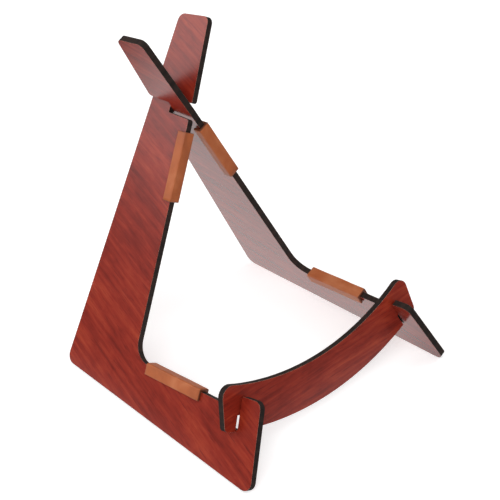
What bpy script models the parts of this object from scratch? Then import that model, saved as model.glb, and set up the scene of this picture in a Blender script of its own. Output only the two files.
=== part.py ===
"""Wooden instrument stand: two crossed side boards, a front crossbar and four leather pads.

Metres, +Z up, the front is -Y. The origin is on the floor, below the middle of the footprint.
The boards slot together without fasteners. A side board is drawn flat on its outer face:
u runs forward along its bottom edge from the rear corner, v runs up the board.
"""
import math
import bpy
import bmesh
from mathutils import Matrix, Vector

MM = 0.001

# Board stock and finish
BOARD = 6.0 * MM
ARRIS = 0.4 * MM
ARC_STEP = math.radians(11.0)
CURVE_STEP = 6.0 * MM

# Stance of the side boards
LEAN = math.radians(27.6)
TOE_OUT = math.radians(1.65)
HALF_SPREAD = 120.0 * MM

# Side board outline
BOARD_HEIGHT = 345.2 * MM
TOP_RISE = 0.174
REAR_BOTTOM_RADIUS = 9.0 * MM
TOP_REAR_RADIUS = 8.0 * MM
TOP_FRONT_RADIUS = 6.0 * MM
UPRIGHT_ROOT = 89.0 * MM
UPRIGHT_TAPER = 0.140
CROWN_TAPER = 0.186
FOOT_LENGTH = 257.1 * MM
TOE_RAKE = 0.292
TOE_BOTTOM_RADIUS = 8.0 * MM
TOE_TOP_RADIUS = 7.0 * MM
TOE_HEIGHT = 70.5 * MM
TOE_RISE = 0.216
FOOT_HEIGHT = 31.5 * MM
FOOT_RISE = 0.121
INSIDE_RADIUS = 18.0 * MM
SLOT_LIP_RADIUS = 2.5 * MM

# Half-lap where the side boards cross
LAP_SHARE = 0.5
LAP_CLEARANCE = 1.5 * MM
LAP_END_GAP = 0.8 * MM

# Crossbar
BAR_LEAN = math.radians(15.7)
BAR_SETBACK = 232.3 * MM
BAR_BOTTOM = 19.3 * MM
BAR_TOP = 58.6 * MM
BAR_BOTTOM_RADIUS = 310.0 * MM
BAR_TOP_RADIUS = 260.0 * MM
BAR_END_RAKE = 0.21
EAR_REACH = 10.7 * MM
EAR_TOP_RADIUS = 10.0 * MM
EAR_BOTTOM_RADIUS = 5.0 * MM

# Cross-laps between the crossbar and the feet
FOOT_SLOT_FLOOR = 41.6 * MM
FOOT_SLOT_FRONT_CLEARANCE = 0.6 * MM
FOOT_SLOT_REAR_CLEARANCE = 0.4 * MM
BAR_SLOT_TOP = 51.5 * MM
BAR_SLOT_OUTER_CLEARANCE = 0.4 * MM
BAR_SLOT_INNER_CLEARANCE = 1.6 * MM

# Leather pads folded over the edges
LEATHER = 2.4 * MM
PAD_GAP = 0.3 * MM
PAD_FOLD_RADIUS = 1.2 * MM
UPRIGHT_PAD_FLAP = 7.0 * MM
UPRIGHT_PAD_LENGTH = 63.6 * MM
UPRIGHT_PAD_BELOW_LAP = 10.6 * MM
FOOT_PAD_FLAP = 8.0 * MM
FOOT_PAD_LENGTH = 69.5 * MM
FOOT_PAD_AFTER_CURVE = 1.2 * MM

# Finishes
WOOD_COLOUR = (0.26, 0.035, 0.022)
LEATHER_COLOUR = (0.44, 0.12, 0.035)

MIRRORED = {"left": -1, "right": 1}
ACROSS = Vector((1, 0, 0))


def toe_corner_reach():
    """How far forward the rounded bottom corner of the toe reaches."""
    slant = math.hypot(1, TOE_RAKE)
    return FOOT_LENGTH - TOE_BOTTOM_RADIUS * (TOE_RAKE + slant - 1)


def axes(side):
    """Forward, up-the-board and outward directions of a side board."""
    forward = Vector((side * math.sin(TOE_OUT), -math.cos(TOE_OUT), 0))
    outward_level = Vector((side * math.cos(TOE_OUT), math.sin(TOE_OUT), 0))
    up = Vector((0, 0, math.cos(LEAN))) - outward_level * math.sin(LEAN)
    outward = outward_level * math.cos(LEAN) + Vector((0, 0, math.sin(LEAN)))
    return forward, up, outward


def offset_forward():
    """Places the rear corners so that the footprint is centred on the origin."""
    forward, up, outward = axes(1)
    rear = up.y * REAR_BOTTOM_RADIUS + outward.y * BOARD
    front = forward.y * toe_corner_reach() + up.y * TOE_BOTTOM_RADIUS
    return -(rear + front) / 2


REAR = offset_forward()

# The eased arris takes the bottom edge off the floor by this much
ARRIS_LIFT = ARRIS * math.sin(LEAN)


def rear_corner(side):
    return Vector((side * HALF_SPREAD, REAR, -ARRIS_LIFT))


# Directions of the crossbar: up its face and back through its thickness
BAR_UP = Vector((0, math.sin(BAR_LEAN), math.cos(BAR_LEAN)))
BAR_BACK = Vector((0, math.cos(BAR_LEAN), -math.sin(BAR_LEAN)))
BAR_FOOT = Vector((0, REAR - BAR_SETBACK, -ARRIS_LIFT))


def rounded(corners):
    """Outline through the corners (x, y, radius), with each corner turned as an arc."""
    outline = []
    spots = [Vector((x, y)) for x, y, radius in corners]
    for index, (x, y, radius) in enumerate(corners):
        spot = spots[index]
        if radius == 0:
            outline.append(spot)
            continue
        before = (spots[index - 1] - spot).normalized()
        after = (spots[(index + 1) % len(spots)] - spot).normalized()
        half = before.angle(after) / 2
        centre = spot + (before + after).normalized() * radius / math.sin(half)
        start = spot + before * radius / math.tan(half) - centre
        turn = math.copysign(math.pi - 2 * half, after.cross(before))
        steps = max(2, math.ceil(abs(turn) / ARC_STEP))
        for step in range(steps + 1):
            outline.append(centre + Matrix.Rotation(turn * step / steps, 2) @ start)
    return outline


def collection(name):
    made = bpy.data.collections.new(name)
    bpy.context.scene.collection.children.link(made)
    return made


def material(name, colour, roughness):
    made = bpy.data.materials.new(name)
    made.use_nodes = True
    shader = made.node_tree.nodes["Principled BSDF"]
    shader.inputs["Base Color"].default_value = (*colour, 1)
    shader.inputs["Roughness"].default_value = roughness
    shader.inputs["Metallic"].default_value = 0.0
    made.diffuse_color = (*colour, 1)
    return made


def extruded(name, outline, thickness, place, finish, group):
    """A flat outline given its thickness about its own plane, then put in place."""
    curve = bpy.data.curves.new(name, "CURVE")
    curve.dimensions = "2D"
    curve.fill_mode = "BOTH"
    curve.extrude = thickness / 2
    spline = curve.splines.new("POLY")
    spline.points.add(len(outline) - 1)
    for point, spot in zip(spline.points, outline):
        point.co = (spot.x, spot.y, 0, 1)
    spline.use_cyclic_u = True
    guide = bpy.data.objects.new(name + "_outline", curve)
    group.objects.link(guide)
    bpy.context.view_layer.update()
    seen = guide.evaluated_get(bpy.context.evaluated_depsgraph_get())
    mesh = bpy.data.meshes.new_from_object(seen)
    bpy.data.objects.remove(guide)
    bpy.data.curves.remove(curve)
    body = bmesh.new()
    body.from_mesh(mesh)
    bmesh.ops.remove_doubles(body, verts=body.verts, dist=0.00001)
    bmesh.ops.recalc_face_normals(body, faces=body.faces)
    body.to_mesh(mesh)
    body.free()
    mesh.name = name
    mesh.materials.clear()
    mesh.materials.append(finish)
    piece = bpy.data.objects.new(name, mesh)
    piece.matrix_world = place
    group.objects.link(piece)
    return piece


def ease_arrises(piece):
    """The hairline chamfer along every cut edge of a board."""
    bevel = piece.modifiers.new("arris", "BEVEL")
    bevel.width = ARRIS
    bevel.segments = 1
    bevel.limit_method = "ANGLE"
    bevel.angle_limit = math.radians(40)


def frame(x_axis, y_axis, origin):
    """Placement whose first two axes are given; the third is square to both."""
    z_axis = x_axis.cross(y_axis)
    rotation = Matrix((x_axis, y_axis, z_axis)).transposed()
    return Matrix.Translation(origin) @ rotation.to_4x4()


def board_frame(side):
    forward, up, outward = axes(side)
    return frame(forward, up, rear_corner(side) + outward * BOARD / 2)


def front_edge(v):
    """The upright's front edge below the lap, as u at a height v."""
    return UPRIGHT_ROOT - UPRIGHT_TAPER * v


def foot_top(u):
    """The foot's top edge between the upright and the slot, as v at u."""
    return FOOT_HEIGHT + FOOT_RISE * u


def inside_corner():
    """u at which the upright's front edge would meet the foot's top edge."""
    return front_edge(FOOT_HEIGHT) / (1 + UPRIGHT_TAPER * FOOT_RISE)


def lap_centre(u):
    """Height v at which the middle planes of the two boards cross."""
    forward, up, outward = axes(1)
    reach = HALF_SPREAD + outward.x * BOARD / 2 + forward.x * u
    return reach / -up.x


def lap_wall(side_of_centre, u):
    """Lower (-1) or upper (+1) wall of the crossing slot at u."""
    half_width = BOARD / math.tan(LEAN) / 2
    return lap_centre(u) + side_of_centre * (half_width + LAP_CLEARANCE)


def lap_corners(direction):
    """Corners of the crossing slot: +1 opens to the front edge, -1 to the rear edge."""
    half_depth = front_edge(lap_centre(0)) * LAP_SHARE
    end = half_depth - direction * LAP_END_GAP / 2
    if direction > 0:
        low_lip = front_edge(lap_wall(-1, half_depth * 2))
        high_lip = crown_edge(lap_wall(1, half_depth * 2))
        return [
            (low_lip, lap_wall(-1, low_lip), SLOT_LIP_RADIUS),
            (end, lap_wall(-1, end), 0),
            (end, lap_wall(1, end), 0),
            (high_lip, lap_wall(1, high_lip), SLOT_LIP_RADIUS),
        ]
    return [
        (0, lap_wall(1, 0), SLOT_LIP_RADIUS),
        (end, lap_wall(1, end), 0),
        (end, lap_wall(-1, end), 0),
        (0, lap_wall(-1, 0), SLOT_LIP_RADIUS),
    ]


def kink():
    """Where the front edge begins to taper faster, at the height of the lap."""
    height = lap_centre(front_edge(lap_centre(0)))
    return front_edge(height), height


def crown_edge(v):
    """The front edge above the kink, as u at a height v."""
    kink_u, kink_v = kink()
    return kink_u - CROWN_TAPER * (v - kink_v)


def foot_slot_lean():
    """Sideways run of the foot slot for each unit of height."""
    forward, up, _ = axes(1)
    return BAR_BACK.dot(up) / -BAR_BACK.dot(forward)


def bar_face_on_board(v, outward_part, depth):
    """u at which a plane of the crossbar cuts a side board."""
    forward, up, outward = axes(1)
    level = BAR_BACK.dot(rear_corner(1) - BAR_FOOT)
    level += v * BAR_BACK.dot(up) + outward_part * BAR_BACK.dot(outward) - depth
    return level / -BAR_BACK.dot(forward)


def foot_slot_walls(v):
    """Rear and front walls of the foot slot at a height v, as u."""
    rear = bar_face_on_board(v, BOARD, BOARD) - FOOT_SLOT_REAR_CLEARANCE
    front = bar_face_on_board(v, 0, 0) + FOOT_SLOT_FRONT_CLEARANCE
    return rear, front


def foot_slot_floor():
    """Ends of the slot floor, which is square to the walls; its height is measured half way."""
    rear, front = foot_slot_walls(FOOT_SLOT_FLOOR)
    lean = foot_slot_lean()
    half = (front - rear) / 2
    centre = (front + rear) / 2
    square = half / (1 + lean * lean)
    drop = -lean * square
    return (centre - square, FOOT_SLOT_FLOOR - drop), (centre + square, FOOT_SLOT_FLOOR + drop)


def side_outline(lap_direction):
    """Outline of a side board, counter-clockwise from its rear bottom corner."""
    floor_rear, floor_front = foot_slot_floor()
    lean = foot_slot_lean()
    rear_lip = foot_top(floor_rear[0] - lean * floor_rear[1]) / (1 - FOOT_RISE * lean)
    rear_lip_u = floor_rear[0] + lean * (rear_lip - floor_rear[1])
    front_lip_u = floor_front[0] + lean * (TOE_HEIGHT - floor_front[1])
    toe_top = (TOE_HEIGHT + TOE_RISE * (FOOT_LENGTH - front_lip_u)) / (1 + TOE_RISE * TOE_RAKE)
    root = inside_corner()
    kink_u, kink_v = kink()
    top_front = (kink_u - CROWN_TAPER * (BOARD_HEIGHT - kink_v)) / (1 + CROWN_TAPER * TOP_RISE)
    corners = [
        (0, 0, REAR_BOTTOM_RADIUS),
        (FOOT_LENGTH, 0, TOE_BOTTOM_RADIUS),
        (FOOT_LENGTH - TOE_RAKE * toe_top, toe_top, TOE_TOP_RADIUS),
        (front_lip_u, TOE_HEIGHT, SLOT_LIP_RADIUS),
        (*floor_front, 0),
        (*floor_rear, 0),
        (rear_lip_u, rear_lip, SLOT_LIP_RADIUS),
        (root, foot_top(root), INSIDE_RADIUS),
    ]
    if lap_direction > 0:
        corners += lap_corners(1)
    else:
        corners.append((kink_u, kink_v, 0))
    corners.append((top_front, BOARD_HEIGHT + TOP_RISE * top_front, TOP_FRONT_RADIUS))
    corners.append((0, BOARD_HEIGHT, TOP_REAR_RADIUS))
    if lap_direction < 0:
        corners += lap_corners(-1)
    return rounded(corners)


def bar_curve(height, radius, x):
    """A shallow arc of the crossbar, lowest at its middle."""
    return height + radius - math.sqrt(radius * radius - x * x)


def board_face_on_bar(s, outward_part, depth):
    """x at which a plane of the right side board cuts the crossbar."""
    outward = axes(1)[2]
    level = outward_part - outward.dot(BAR_FOOT - rear_corner(1))
    level -= s * outward.dot(BAR_UP) + depth * outward.dot(BAR_BACK)
    return level / outward.x


def bar_slot_corners():
    """Corners of the right slot of the crossbar, from its inner mouth to its outer mouth."""
    outward = axes(1)[2]
    lean = -outward.dot(BAR_UP) / outward.x
    slant = math.hypot(1, lean)
    inner = board_face_on_bar(0, 0, 0) - BAR_SLOT_INNER_CLEARANCE * slant
    outer = board_face_on_bar(0, BOARD, BOARD) + BAR_SLOT_OUTER_CLEARANCE * slant
    middle = (inner + outer) / 2 + lean * BAR_SLOT_TOP
    corners = []
    for base in (inner, outer):
        # The slot top is square to the walls
        top_s = (BAR_SLOT_TOP - lean * (base - middle)) / (1 + lean * lean)
        mouth_s = BAR_BOTTOM
        for _ in range(20):
            mouth_s = bar_curve(BAR_BOTTOM, BAR_BOTTOM_RADIUS, base + lean * mouth_s)
        wall_points = [(base + lean * mouth_s, mouth_s, 0), (base + lean * top_s, top_s, 0)]
        corners += wall_points if base == inner else wall_points[::-1]
    return corners


def sampled(start, end, height, radius):
    """Points along one of the crossbar's arcs between two x, ends left out."""
    count = max(2, round(abs(end - start) / CURVE_STEP))
    spots = [start + (end - start) * step / count for step in range(1, count)]
    return [(x, bar_curve(height, radius, x), 0) for x in spots]


def bar_outline():
    """Outline of the crossbar, counter-clockwise from the middle of its bottom edge."""
    slot = bar_slot_corners()
    # The ears reach past the slots, and their ends are raked
    ear_x = slot[-1][0] + EAR_REACH
    ear_s = bar_curve(BAR_BOTTOM, BAR_BOTTOM_RADIUS, ear_x)
    top_x = ear_x
    for _ in range(20):
        top_x = ear_x - BAR_END_RAKE * (bar_curve(BAR_TOP, BAR_TOP_RADIUS, top_x) - ear_s)
    right = sampled(0, slot[0][0], BAR_BOTTOM, BAR_BOTTOM_RADIUS)
    right += slot
    right.append((ear_x, ear_s, EAR_BOTTOM_RADIUS))
    right.append((top_x, bar_curve(BAR_TOP, BAR_TOP_RADIUS, top_x), EAR_TOP_RADIUS))
    right += sampled(top_x - EAR_TOP_RADIUS * 1.2, 0, BAR_TOP, BAR_TOP_RADIUS)
    middle_bottom = [(0, BAR_BOTTOM, 0)]
    middle_top = [(0, BAR_TOP, 0)]
    left = [(-x, s, radius) for x, s, radius in reversed(right)]
    return rounded(middle_bottom + right + middle_top + left)


def pad_outline(flap_depth):
    """Cross-section of a folded pad: across the board, and outward from its edge."""
    inner = BOARD / 2 + PAD_GAP
    outer = inner + LEATHER
    flap = -flap_depth
    return rounded([
        (-outer, flap, 0),
        (-inner, flap, 0),
        (-inner, PAD_GAP, 0),
        (inner, PAD_GAP, 0),
        (inner, flap, 0),
        (outer, flap, 0),
        (outer, PAD_GAP + LEATHER, PAD_FOLD_RADIUS),
        (-outer, PAD_GAP + LEATHER, PAD_FOLD_RADIUS),
    ])


def pad(name, side, middle, along, length, flap_depth, group):
    """A pad over a straight edge: middle and along are given on the board as (u, v)."""
    forward, up, outward = axes(side)
    run = (forward * along[0] + up * along[1]).normalized()
    away = forward * along[1] - up * along[0]
    if along[0] > along[1]:
        away = -away
    away.normalize()
    spot = rear_corner(side) + forward * middle[0] + up * middle[1] + outward * BOARD / 2
    across = away.cross(run)
    finish = material(name, LEATHER_COLOUR, 0.62)
    return extruded(name, pad_outline(flap_depth), length, frame(across, away, spot), finish, group)


def build():
    for item in list(bpy.data.objects):
        bpy.data.objects.remove(item)
    group = collection("instrument_stand")

    for word, lap in (("left", 1), ("right", -1)):
        side = MIRRORED[word]
        name = word + "_side_board"
        finish = material(name, WOOD_COLOUR, 0.22)
        board = extruded(name, side_outline(lap), BOARD, board_frame(side), finish, group)
        ease_arrises(board)

    bar_place = frame(ACROSS, BAR_UP, BAR_FOOT + BAR_BACK * BOARD / 2)
    finish = material("front_crossbar", WOOD_COLOUR, 0.22)
    bar = extruded("front_crossbar", bar_outline(), BOARD, bar_place, finish, group)
    ease_arrises(bar)

    upright_top = lap_wall(-1, front_edge(lap_centre(0))) - UPRIGHT_PAD_BELOW_LAP
    upright_middle = upright_top - UPRIGHT_PAD_LENGTH / 2
    root = inside_corner()
    corner_angle = math.pi / 2 - math.atan(FOOT_RISE) + math.atan(UPRIGHT_TAPER)
    curve_reach = INSIDE_RADIUS / math.tan(corner_angle / 2)
    foot_middle = root + curve_reach + FOOT_PAD_AFTER_CURVE + FOOT_PAD_LENGTH / 2
    for word, side in MIRRORED.items():
        pad(word + "_upright_pad", side, (front_edge(upright_middle), upright_middle),
            (-UPRIGHT_TAPER, 1), UPRIGHT_PAD_LENGTH, UPRIGHT_PAD_FLAP, group)
        pad(word + "_foot_pad", side, (foot_middle, foot_top(foot_middle)),
            (1, FOOT_RISE), FOOT_PAD_LENGTH, FOOT_PAD_FLAP, group)


build()
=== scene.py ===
import math

import bmesh
import bpy
from mathutils import Matrix, Vector, noise


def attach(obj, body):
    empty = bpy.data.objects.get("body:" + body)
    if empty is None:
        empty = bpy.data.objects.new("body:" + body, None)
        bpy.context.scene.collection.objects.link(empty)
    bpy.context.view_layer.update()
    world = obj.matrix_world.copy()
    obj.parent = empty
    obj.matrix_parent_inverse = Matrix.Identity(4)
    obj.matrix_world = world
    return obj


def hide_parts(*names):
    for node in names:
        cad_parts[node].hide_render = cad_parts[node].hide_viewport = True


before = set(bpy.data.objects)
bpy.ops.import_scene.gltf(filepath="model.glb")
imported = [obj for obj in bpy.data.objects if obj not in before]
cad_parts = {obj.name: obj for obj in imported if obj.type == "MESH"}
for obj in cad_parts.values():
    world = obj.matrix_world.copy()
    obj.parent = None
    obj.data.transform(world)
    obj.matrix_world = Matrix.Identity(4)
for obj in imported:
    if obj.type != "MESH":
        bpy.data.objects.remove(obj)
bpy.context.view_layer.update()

MM = 0.001

# Stance of the boards, as the solids have it
LEAN = math.radians(27.6)
TOE_OUT = math.radians(1.65)
BAR_LEAN = math.radians(15.7)
UPRIGHT_TAPER = 0.140
FOOT_RISE = 0.121

# Directions of the grain on each board, turned from its long edge towards its height
LEFT_GRAIN = math.radians(-18.0)
RIGHT_GRAIN = math.radians(-18.0)
BAR_GRAIN = 0.0

# Figure of the veneer: cycles per metre along the grain, across it and through the board
FIGURE = (4.0, 28.0, 6.0)
STREAK = (9.0, 240.0, 20.0)
MOTTLE = (38.0, 110.0, 30.0)
PORES = (55.0, 820.0, 60.0)
SCORCH = (260.0, 260.0, 40.0)
FIGURE_SHARE = 0.26
STREAK_SHARE = 0.42
MOTTLE_SHARE = 0.32
PORE_SHARE = 0.45

# Veneer colours, linear
VENEER_DARK = (0.150, 0.010, 0.005)
VENEER_MIDDLE = (0.262, 0.021, 0.010)
VENEER_LIGHT = (0.390, 0.047, 0.019)
PORE_COLOUR = (0.060, 0.006, 0.005)
CHAR_DARK = (0.009, 0.004, 0.002)
CHAR_LIGHT = (0.030, 0.012, 0.007)
# Pale colour on the arris: a painted highlight standing for the lacquer's glint along the edges
ARRIS_PAINTED_HIGHLIGHT = (0.620, 0.340, 0.250)
LACQUER_ROUGHNESS = 0.25
CHAR_ROUGHNESS = 0.80

# Leather pads
LEATHER = 2.4 * MM
FOLD_RADIUS = 1.2 * MM
INNER_FOLD_RADIUS = 0.5 * MM
CUT_EDGE_RADIUS = 0.7 * MM
END_EASE = 0.5 * MM
END_STEPS = 3
PAD_STEP = 2.5 * MM
OUTLINE_STEP = 1.3 * MM
SWELL = 0.28 * MM
SWELL_SCALE = 55.0
ARC_STEP = math.radians(15.0)
LEATHER_DARK = (0.330, 0.078, 0.020)
LEATHER_MIDDLE = (0.430, 0.104, 0.024)
LEATHER_LIGHT = (0.520, 0.165, 0.060)
LEATHER_EDGE = (0.150, 0.040, 0.014)
LEATHER_CELLS = 850.0
LEATHER_CREASES = (420.0, 420.0, 300.0)
LEATHER_MOTTLE = (45.0, 45.0, 30.0)
LEATHER_RELIEF = 0.12 * MM
LEATHER_RELIEF_STRENGTH = 0.45
LEATHER_ROUGHNESS = 0.42

# Photograph's viewpoint
CAMERA_AT = Vector((-0.6462, -0.6709, 0.7222))
CAMERA_AZIMUTH = math.radians(43.83)
CAMERA_ELEVATION = math.radians(32.62)
CAMERA_ROLL = math.radians(-1.13)
SENSOR_WIDTH = 36.0
FOCAL_LENGTH = 88.41

# Studio: each light's name, place, width and power in watts
LIGHTS = (
    ("key_light", (-1.1, -0.9, 1.6), 1.3, 19.0),
    ("rear_light", (-1.35, 1.35, 1.25), 1.6, 19.0),
    ("fill_light", (1.5, -0.5, 1.3), 1.4, 7.0),
)
FLOOR_SIZE = 12.0
FLOOR_DROP = 0.1 * MM
FLOOR_COLOUR = 0.80
FLOOR_LIFT = 0.50
FAR_LIFT = 0.60
FAR_START = 0.5
FAR_FULL = 2.5
AMBIENT = 0.42
MIRRORED_AMBIENT = 0.08

# Pale patch of floor that the lacquer mirrors, below and behind the stand
SHINE = 1.35
SHINE_CENTRE = (0.05, 0.12, 0.0)
SHINE_FULL = 0.18
SHINE_END = 0.36
AIM = Vector((0.0, 0.0, 0.12))


class Finish:
    """A material's node tree, with short ways to add what the finishes share."""

    def __init__(self, name):
        self.material = bpy.data.materials.new(name)
        self.material.use_nodes = True
        self.nodes = self.material.node_tree.nodes
        self.links = self.material.node_tree.links
        self.shader = self.nodes["Principled BSDF"]

    def add(self, kind, **settings):
        node = self.nodes.new(kind)
        for key, value in settings.items():
            setattr(node, key, value)
        return node

    def plug(self, socket, value):
        """Links an output to the socket, or sets the socket to a plain value."""
        if isinstance(value, bpy.types.NodeSocket):
            self.links.new(value, socket)
        else:
            socket.default_value = value

    def maths(self, operation, *values):
        node = self.add("ShaderNodeMath", operation=operation)
        for socket, value in zip(node.inputs, values):
            self.plug(socket, value)
        return node.outputs[0]

    def along(self, vector, direction):
        node = self.add("ShaderNodeVectorMath", operation="DOT_PRODUCT")
        self.plug(node.inputs[0], vector)
        node.inputs[1].default_value = direction
        return node.outputs["Value"]

    def spot(self, axes, stretch, shift=0.0):
        """Place on the object, measured along three axes and stretched along each."""
        where = self.add("ShaderNodeTexCoord").outputs["Object"]
        joined = self.add("ShaderNodeCombineXYZ")
        for socket, axis, factor in zip(joined.inputs, axes, stretch):
            measured = self.along(where, axis)
            self.plug(socket, self.maths("MULTIPLY_ADD", measured, factor, shift))
        return joined.outputs[0]

    def cloud(self, vector, detail=2.0, roughness=0.5, distortion=0.0):
        node = self.add("ShaderNodeTexNoise")
        self.plug(node.inputs["Vector"], vector)
        node.inputs["Scale"].default_value = 1.0
        node.inputs["Detail"].default_value = detail
        node.inputs["Roughness"].default_value = roughness
        node.inputs["Distortion"].default_value = distortion
        return node.outputs[0]

    def level(self, value, low, high):
        """0 up to low, 1 from high, and between them in proportion."""
        node = self.add("ShaderNodeMapRange")
        self.plug(node.inputs["Value"], value)
        node.inputs["From Min"].default_value = low
        node.inputs["From Max"].default_value = high
        return node.outputs[0]

    def ramp(self, value, *stops):
        node = self.add("ShaderNodeValToRGB")
        elements = node.color_ramp.elements
        while len(elements) < len(stops):
            elements.new(1.0)
        for element, (place, colour) in zip(elements, stops):
            element.position = place
            element.color = (*colour, 1)
        self.plug(node.inputs[0], value)
        return node.outputs[0]

    def blend(self, share, first, second):
        """Colour that goes from the first to the second as share goes from 0 to 1."""
        node = self.add("ShaderNodeMix", data_type="RGBA")
        self.plug(node.inputs[0], share)
        for socket, colour in ((node.inputs[6], first), (node.inputs[7], second)):
            self.plug(socket, (*colour, 1) if isinstance(colour, tuple) else colour)
        return node.outputs[2]

    def relief(self, height, depth, strength):
        node = self.add("ShaderNodeBump")
        node.inputs["Strength"].default_value = strength
        node.inputs["Distance"].default_value = depth
        self.plug(node.inputs["Height"], height)
        self.plug(self.shader.inputs["Normal"], node.outputs[0])


def board_axes(side):
    """Forward, up-the-board and outward directions of a side board."""
    forward = Vector((side * math.sin(TOE_OUT), -math.cos(TOE_OUT), 0))
    level_out = Vector((side * math.cos(TOE_OUT), math.sin(TOE_OUT), 0))
    up = Vector((0, 0, math.cos(LEAN))) - level_out * math.sin(LEAN)
    outward = level_out * math.cos(LEAN) + Vector((0, 0, math.sin(LEAN)))
    return forward, up, outward


def veneer(name, axes, grain_angle, shift):
    """Glossy red-brown veneer on the faces, a pale arris that is a painted highlight standing for
    the lacquer's glint along the edges, and charred cut edges.
    """
    forward, up, outward = axes
    grain = forward * math.cos(grain_angle) + up * math.sin(grain_angle)
    across = up * math.cos(grain_angle) - forward * math.sin(grain_angle)
    finish = Finish(name)
    lines = (grain, across, outward)

    broad = finish.cloud(finish.spot(lines, FIGURE, shift), 2.0, 0.5, 0.9)
    streak = finish.cloud(finish.spot(lines, STREAK, shift), 4.0, 0.62)
    mottle = finish.cloud(finish.spot(lines, MOTTLE, shift), 3.0, 0.6, 0.5)
    pores = finish.cloud(finish.spot(lines, PORES, shift), 2.0, 0.6)
    figure = finish.maths("MULTIPLY", broad, FIGURE_SHARE)
    figure = finish.maths("MULTIPLY_ADD", streak, STREAK_SHARE, figure)
    figure = finish.maths("MULTIPLY_ADD", mottle, MOTTLE_SHARE, figure)
    wood = finish.ramp(figure, (0.35, VENEER_DARK), (0.50, VENEER_MIDDLE), (0.66, VENEER_LIGHT))
    pore_share = finish.maths("MULTIPLY", finish.level(pores, 0.56, 0.70), PORE_SHARE)
    wood = finish.blend(pore_share, wood, PORE_COLOUR)

    scorch = finish.cloud(finish.spot((forward, up, outward), SCORCH), 3.0)
    edge = finish.ramp(scorch, (0.35, CHAR_DARK), (0.65, CHAR_LIGHT))
    normal = finish.add("ShaderNodeNewGeometry").outputs["True Normal"]
    facing = finish.maths("ABSOLUTE", finish.along(normal, outward))
    on_face = finish.level(facing, 0.80, 0.90)
    # Band between the charred edge and the face gets the pale painted highlight of the lacquer's
    # edge glint
    painted_highlight_share = finish.level(facing, 0.45, 0.55)
    colour = finish.blend(painted_highlight_share, edge, ARRIS_PAINTED_HIGHLIGHT)
    colour = finish.blend(on_face, colour, wood)
    finish.plug(finish.shader.inputs["Base Color"], colour)

    change = LACQUER_ROUGHNESS - CHAR_ROUGHNESS
    rough = finish.maths("MULTIPLY_ADD", on_face, change, CHAR_ROUGHNESS)
    finish.plug(finish.shader.inputs["Roughness"], rough)
    return finish.material


def leather(name, axes, shift):
    """Tan leather with a fine grain; the cut ends and flap edges are dark."""
    _, away, run = axes
    finish = Finish(name)
    mottle = finish.cloud(finish.spot(axes, LEATHER_MOTTLE, shift), 3.0, 0.55, 0.4)
    hide = finish.ramp(mottle, (0.32, LEATHER_DARK), (0.50, LEATHER_MIDDLE), (0.70, LEATHER_LIGHT))
    normal = finish.add("ShaderNodeNewGeometry").outputs["True Normal"]
    at_end = finish.level(finish.maths("ABSOLUTE", finish.along(normal, run)), 0.45, 0.80)
    at_flap = finish.level(finish.along(normal, -away), 0.45, 0.80)
    cut = finish.maths("MAXIMUM", at_end, at_flap)
    finish.plug(finish.shader.inputs["Base Color"], finish.blend(cut, hide, LEATHER_EDGE))

    cells = finish.add("ShaderNodeTexVoronoi", feature="SMOOTH_F1")
    finish.plug(cells.inputs["Vector"], finish.spot(axes, (1.0, 1.0, 1.0)))
    cells.inputs["Scale"].default_value = LEATHER_CELLS
    creases = finish.cloud(finish.spot(axes, LEATHER_CREASES, shift), 4.0, 0.6)
    height = finish.maths("MULTIPLY_ADD", creases, 0.6, cells.outputs["Distance"])
    rough = finish.maths("MULTIPLY_ADD", mottle, 0.2, LEATHER_ROUGHNESS)
    finish.plug(finish.shader.inputs["Roughness"], rough)
    finish.relief(height, LEATHER_RELIEF, LEATHER_RELIEF_STRENGTH)
    return finish.material


def rounded(corners):
    """Outline through the corners (x, y, radius), with each corner turned as an arc."""
    outline = []
    spots = [Vector((x, y)) for x, y, radius in corners]
    for index, (x, y, radius) in enumerate(corners):
        spot = spots[index]
        before = (spots[index - 1] - spot).normalized()
        after = (spots[(index + 1) % len(spots)] - spot).normalized()
        half = before.angle(after) / 2
        centre = spot + (before + after).normalized() * radius / math.sin(half)
        start = spot + before * radius / math.tan(half) - centre
        turn = math.copysign(math.pi - 2 * half, after.cross(before))
        steps = max(2, math.ceil(abs(turn) / ARC_STEP))
        for step in range(steps + 1):
            outline.append(centre + Matrix.Rotation(turn * step / steps, 2) @ start)
    return outline


def filled(outline, longest):
    """The same outline with points added so that no side is longer than asked."""
    dense = []
    for index, spot in enumerate(outline):
        following = outline[(index + 1) % len(outline)]
        parts = max(1, math.ceil((following - spot).length / longest))
        dense += [spot.lerp(following, part / parts) for part in range(parts)]
    return dense


def outward_normals(outline):
    normals = []
    for index in range(len(outline)):
        run = outline[(index + 1) % len(outline)] - outline[index - 1]
        normals.append(Vector((run.y, -run.x)).normalized())
    return normals


def pad_stations(low, high):
    """Places along the pad with how far its rounded ends are drawn in at each."""
    ends = []
    for step in range(END_STEPS + 1):
        angle = math.pi / 2 * step / END_STEPS
        ends.append((END_EASE * (1 - math.cos(angle)), END_EASE * (1 - math.sin(angle))))
    count = round((high - low - 2 * END_EASE) / PAD_STEP)
    middle = []
    for step in range(1, count):
        middle.append((low + END_EASE + (high - low - 2 * END_EASE) * step / count, 0.0))
    first = [(low + reach, inset) for reach, inset in ends]
    last = [(high - reach, inset) for reach, inset in reversed(ends)]
    return first + middle + last


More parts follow.
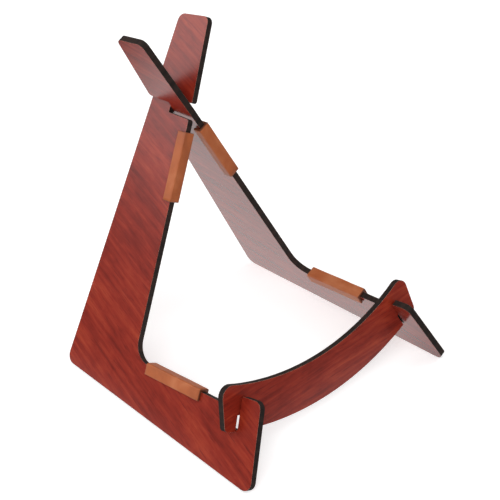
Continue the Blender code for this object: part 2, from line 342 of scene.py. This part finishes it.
def folded_pad(node, side, slope, shift):
    """Leather folded over a board's edge, built in the space of its solid."""
    forward, up, outward = board_axes(side)
    run = (forward * slope[0] + up * slope[1]).normalized()
    away = forward * slope[1] - up * slope[0]
    if slope[0] > slope[1]:
        away = -away
    away.normalize()
    across = away.cross(run)
    axes = (across, away, run)
    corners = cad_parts[node].data.vertices
    measured = [[corner.co.dot(axis) for corner in corners] for axis in axes]
    low = [min(values) for values in measured]
    high = [max(values) for values in measured]
    middle = (low[0] + high[0]) / 2
    outer = (high[0] - low[0]) / 2
    inner = outer - LEATHER
    under = high[1] - LEATHER
    outline = rounded([
        (-outer, low[1], CUT_EDGE_RADIUS),
        (-inner, low[1], CUT_EDGE_RADIUS),
        (-inner, under, INNER_FOLD_RADIUS),
        (inner, under, INNER_FOLD_RADIUS),
        (inner, low[1], CUT_EDGE_RADIUS),
        (outer, low[1], CUT_EDGE_RADIUS),
        (outer, high[1], FOLD_RADIUS),
        (-outer, high[1], FOLD_RADIUS),
    ])
    outline = filled(outline, OUTLINE_STEP)
    normals = outward_normals(outline)

    body = bmesh.new()
    rings = []
    for place, inset in pad_stations(low[2], high[2]):
        ring = []
        for spot, normal in zip(outline, normals):
            outside = abs(spot.x) > inner + LEATHER / 2 or spot.y > under + LEATHER / 2
            bump = noise.noise(Vector((spot.x, spot.y, place + shift)) * SWELL_SCALE)
            swell = SWELL * (0.5 + 0.5 * bump) if outside and inset == 0 else 0.0
            flat = spot + normal * (swell - inset)
            ring.append(body.verts.new(across * (middle + flat.x) + away * flat.y + run * place))
        rings.append(ring)
    for ring, following in zip(rings, rings[1:]):
        for index in range(len(ring)):
            body.faces.new((ring[index - 1], ring[index], following[index], following[index - 1]))
    body.faces.new(rings[0][::-1])
    body.faces.new(rings[-1])
    bmesh.ops.recalc_face_normals(body, faces=body.faces)
    mesh = bpy.data.meshes.new(node + "_leather")
    body.to_mesh(mesh)
    body.free()
    mesh.shade_smooth()
    mesh.set_sharp_from_angle(angle=math.radians(50))
    mesh.materials.append(leather(node + "_leather", axes, shift))
    piece = bpy.data.objects.new(node + "_leather", mesh)
    bpy.context.scene.collection.objects.link(piece)
    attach(piece, "side_boards")
    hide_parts(node)


def dress_boards():
    bar_up = Vector((0, math.sin(BAR_LEAN), math.cos(BAR_LEAN)))
    bar_out = Vector((0, -math.cos(BAR_LEAN), math.sin(BAR_LEAN)))
    finishes = (
        ("left_side_board", board_axes(-1), LEFT_GRAIN, 3.0),
        ("right_side_board", board_axes(1), RIGHT_GRAIN, 11.0),
        ("front_crossbar", (Vector((1, 0, 0)), bar_up, bar_out), BAR_GRAIN, 23.0),
    )
    for node, axes, angle, shift in finishes:
        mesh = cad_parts[node].data
        mesh.materials.clear()
        mesh.materials.append(veneer(node + "_veneer", axes, angle, shift))


def place_camera():
    """Stands the camera where the photograph was taken from."""
    level = math.cos(CAMERA_ELEVATION)
    ahead = Vector((
        math.sin(CAMERA_AZIMUTH) * level,
        math.cos(CAMERA_AZIMUTH) * level,
        -math.sin(CAMERA_ELEVATION),
    ))
    right = Vector((math.cos(CAMERA_AZIMUTH), -math.sin(CAMERA_AZIMUTH), 0))
    top = right.cross(ahead)
    rolled_right = right * math.cos(CAMERA_ROLL) + top * math.sin(CAMERA_ROLL)
    rolled_top = top * math.cos(CAMERA_ROLL) - right * math.sin(CAMERA_ROLL)
    turn = Matrix((rolled_right, rolled_top, -ahead)).transposed().to_4x4()
    data = bpy.data.cameras.new("camera")
    data.lens = FOCAL_LENGTH
    data.sensor_width = SENSOR_WIDTH
    camera = bpy.data.objects.new("camera", data)
    camera.matrix_world = Matrix.Translation(CAMERA_AT) @ turn
    bpy.context.scene.collection.objects.link(camera)
    bpy.context.scene.camera = camera


def soft_light(name, place, width, power):
    data = bpy.data.lights.new(name, "AREA")
    data.shape = "SQUARE"
    data.size = width
    data.energy = power
    lamp = bpy.data.objects.new(name, data)
    lamp.location = place
    lamp.rotation_euler = (AIM - Vector(place)).to_track_quat("-Z", "Y").to_euler()
    bpy.context.scene.collection.objects.link(lamp)


def light_studio():
    for name, place, width, power in LIGHTS:
        soft_light(name, place, width, power)
    world = bpy.data.worlds.new("studio")
    bpy.context.scene.world = world
    world.use_nodes = True
    nodes = world.node_tree.nodes
    path = nodes.new("ShaderNodeLightPath")
    level = nodes.new("ShaderNodeValue").outputs[0]
    level.default_value = AMBIENT
    for ray, strength in (("Is Camera Ray", 1.0), ("Is Glossy Ray", MIRRORED_AMBIENT)):
        step = nodes.new("ShaderNodeMath")
        step.operation = "MULTIPLY_ADD"
        world.node_tree.links.new(path.outputs[ray], step.inputs[0])
        step.inputs[1].default_value = strength - AMBIENT
        world.node_tree.links.new(level, step.inputs[2])
        level = step.outputs[0]
    background = nodes["Background"]
    background.inputs["Color"].default_value = (1, 1, 1, 1)
    world.node_tree.links.new(level, background.inputs["Strength"])


def lay_floor():
    """Pale floor that keeps the shadow, fades to white and shows the lacquer a bright patch."""
    finish = Finish("floor")
    finish.nodes.remove(finish.shader)
    matt = finish.add("ShaderNodeBsdfDiffuse")
    matt.inputs["Color"].default_value = (FLOOR_COLOUR, FLOOR_COLOUR, FLOOR_COLOUR, 1)
    path = finish.add("ShaderNodeLightPath")
    away = finish.add("ShaderNodeVectorMath", operation="DISTANCE")
    finish.plug(away.inputs[0], finish.add("ShaderNodeTexCoord").outputs["Object"])
    away.inputs[1].default_value = SHINE_CENTRE
    near = finish.level(away.outputs["Value"], SHINE_END, SHINE_FULL)
    far = finish.level(away.outputs["Value"], FAR_START, FAR_FULL)
    lift = finish.add("ShaderNodeEmission")
    lifted = finish.maths("MULTIPLY_ADD", far, FAR_LIFT, FLOOR_LIFT)
    lifted = finish.maths("MULTIPLY", path.outputs["Is Camera Ray"], lifted)
    finish.plug(lift.inputs["Strength"], lifted)
    lit = finish.add("ShaderNodeAddShader")
    finish.links.new(matt.outputs[0], lit.inputs[0])
    finish.links.new(lift.outputs[0], lit.inputs[1])
    shine = finish.add("ShaderNodeEmission")
    mirrored = finish.maths("MULTIPLY_ADD", near, SHINE, MIRRORED_AMBIENT)
    finish.plug(shine.inputs["Strength"], mirrored)
    shown = finish.add("ShaderNodeMixShader")
    finish.links.new(path.outputs["Is Glossy Ray"], shown.inputs[0])
    finish.links.new(lit.outputs[0], shown.inputs[1])
    finish.links.new(shine.outputs[0], shown.inputs[2])
    finish.links.new(shown.outputs[0], finish.nodes["Material Output"].inputs["Surface"])
    half = FLOOR_SIZE / 2
    mesh = bpy.data.meshes.new("floor")
    corners = [(-half, -half, 0), (half, -half, 0), (half, half, 0), (-half, half, 0)]
    mesh.from_pydata(corners, [], [(0, 1, 2, 3)])
    mesh.materials.append(finish.material)
    floor = bpy.data.objects.new("floor", mesh)
    floor.location.z = -FLOOR_DROP
    bpy.context.scene.collection.objects.link(floor)


dress_boards()
for word, side in (("left", -1), ("right", 1)):
    folded_pad(word + "_upright_pad", side, (-UPRIGHT_TAPER, 1), 0.31 + side)
    folded_pad(word + "_foot_pad", side, (1, FOOT_RISE), 0.57 + side)
place_camera()
light_studio()
lay_floor()
bpy.context.scene.view_settings.view_transform = "Standard"
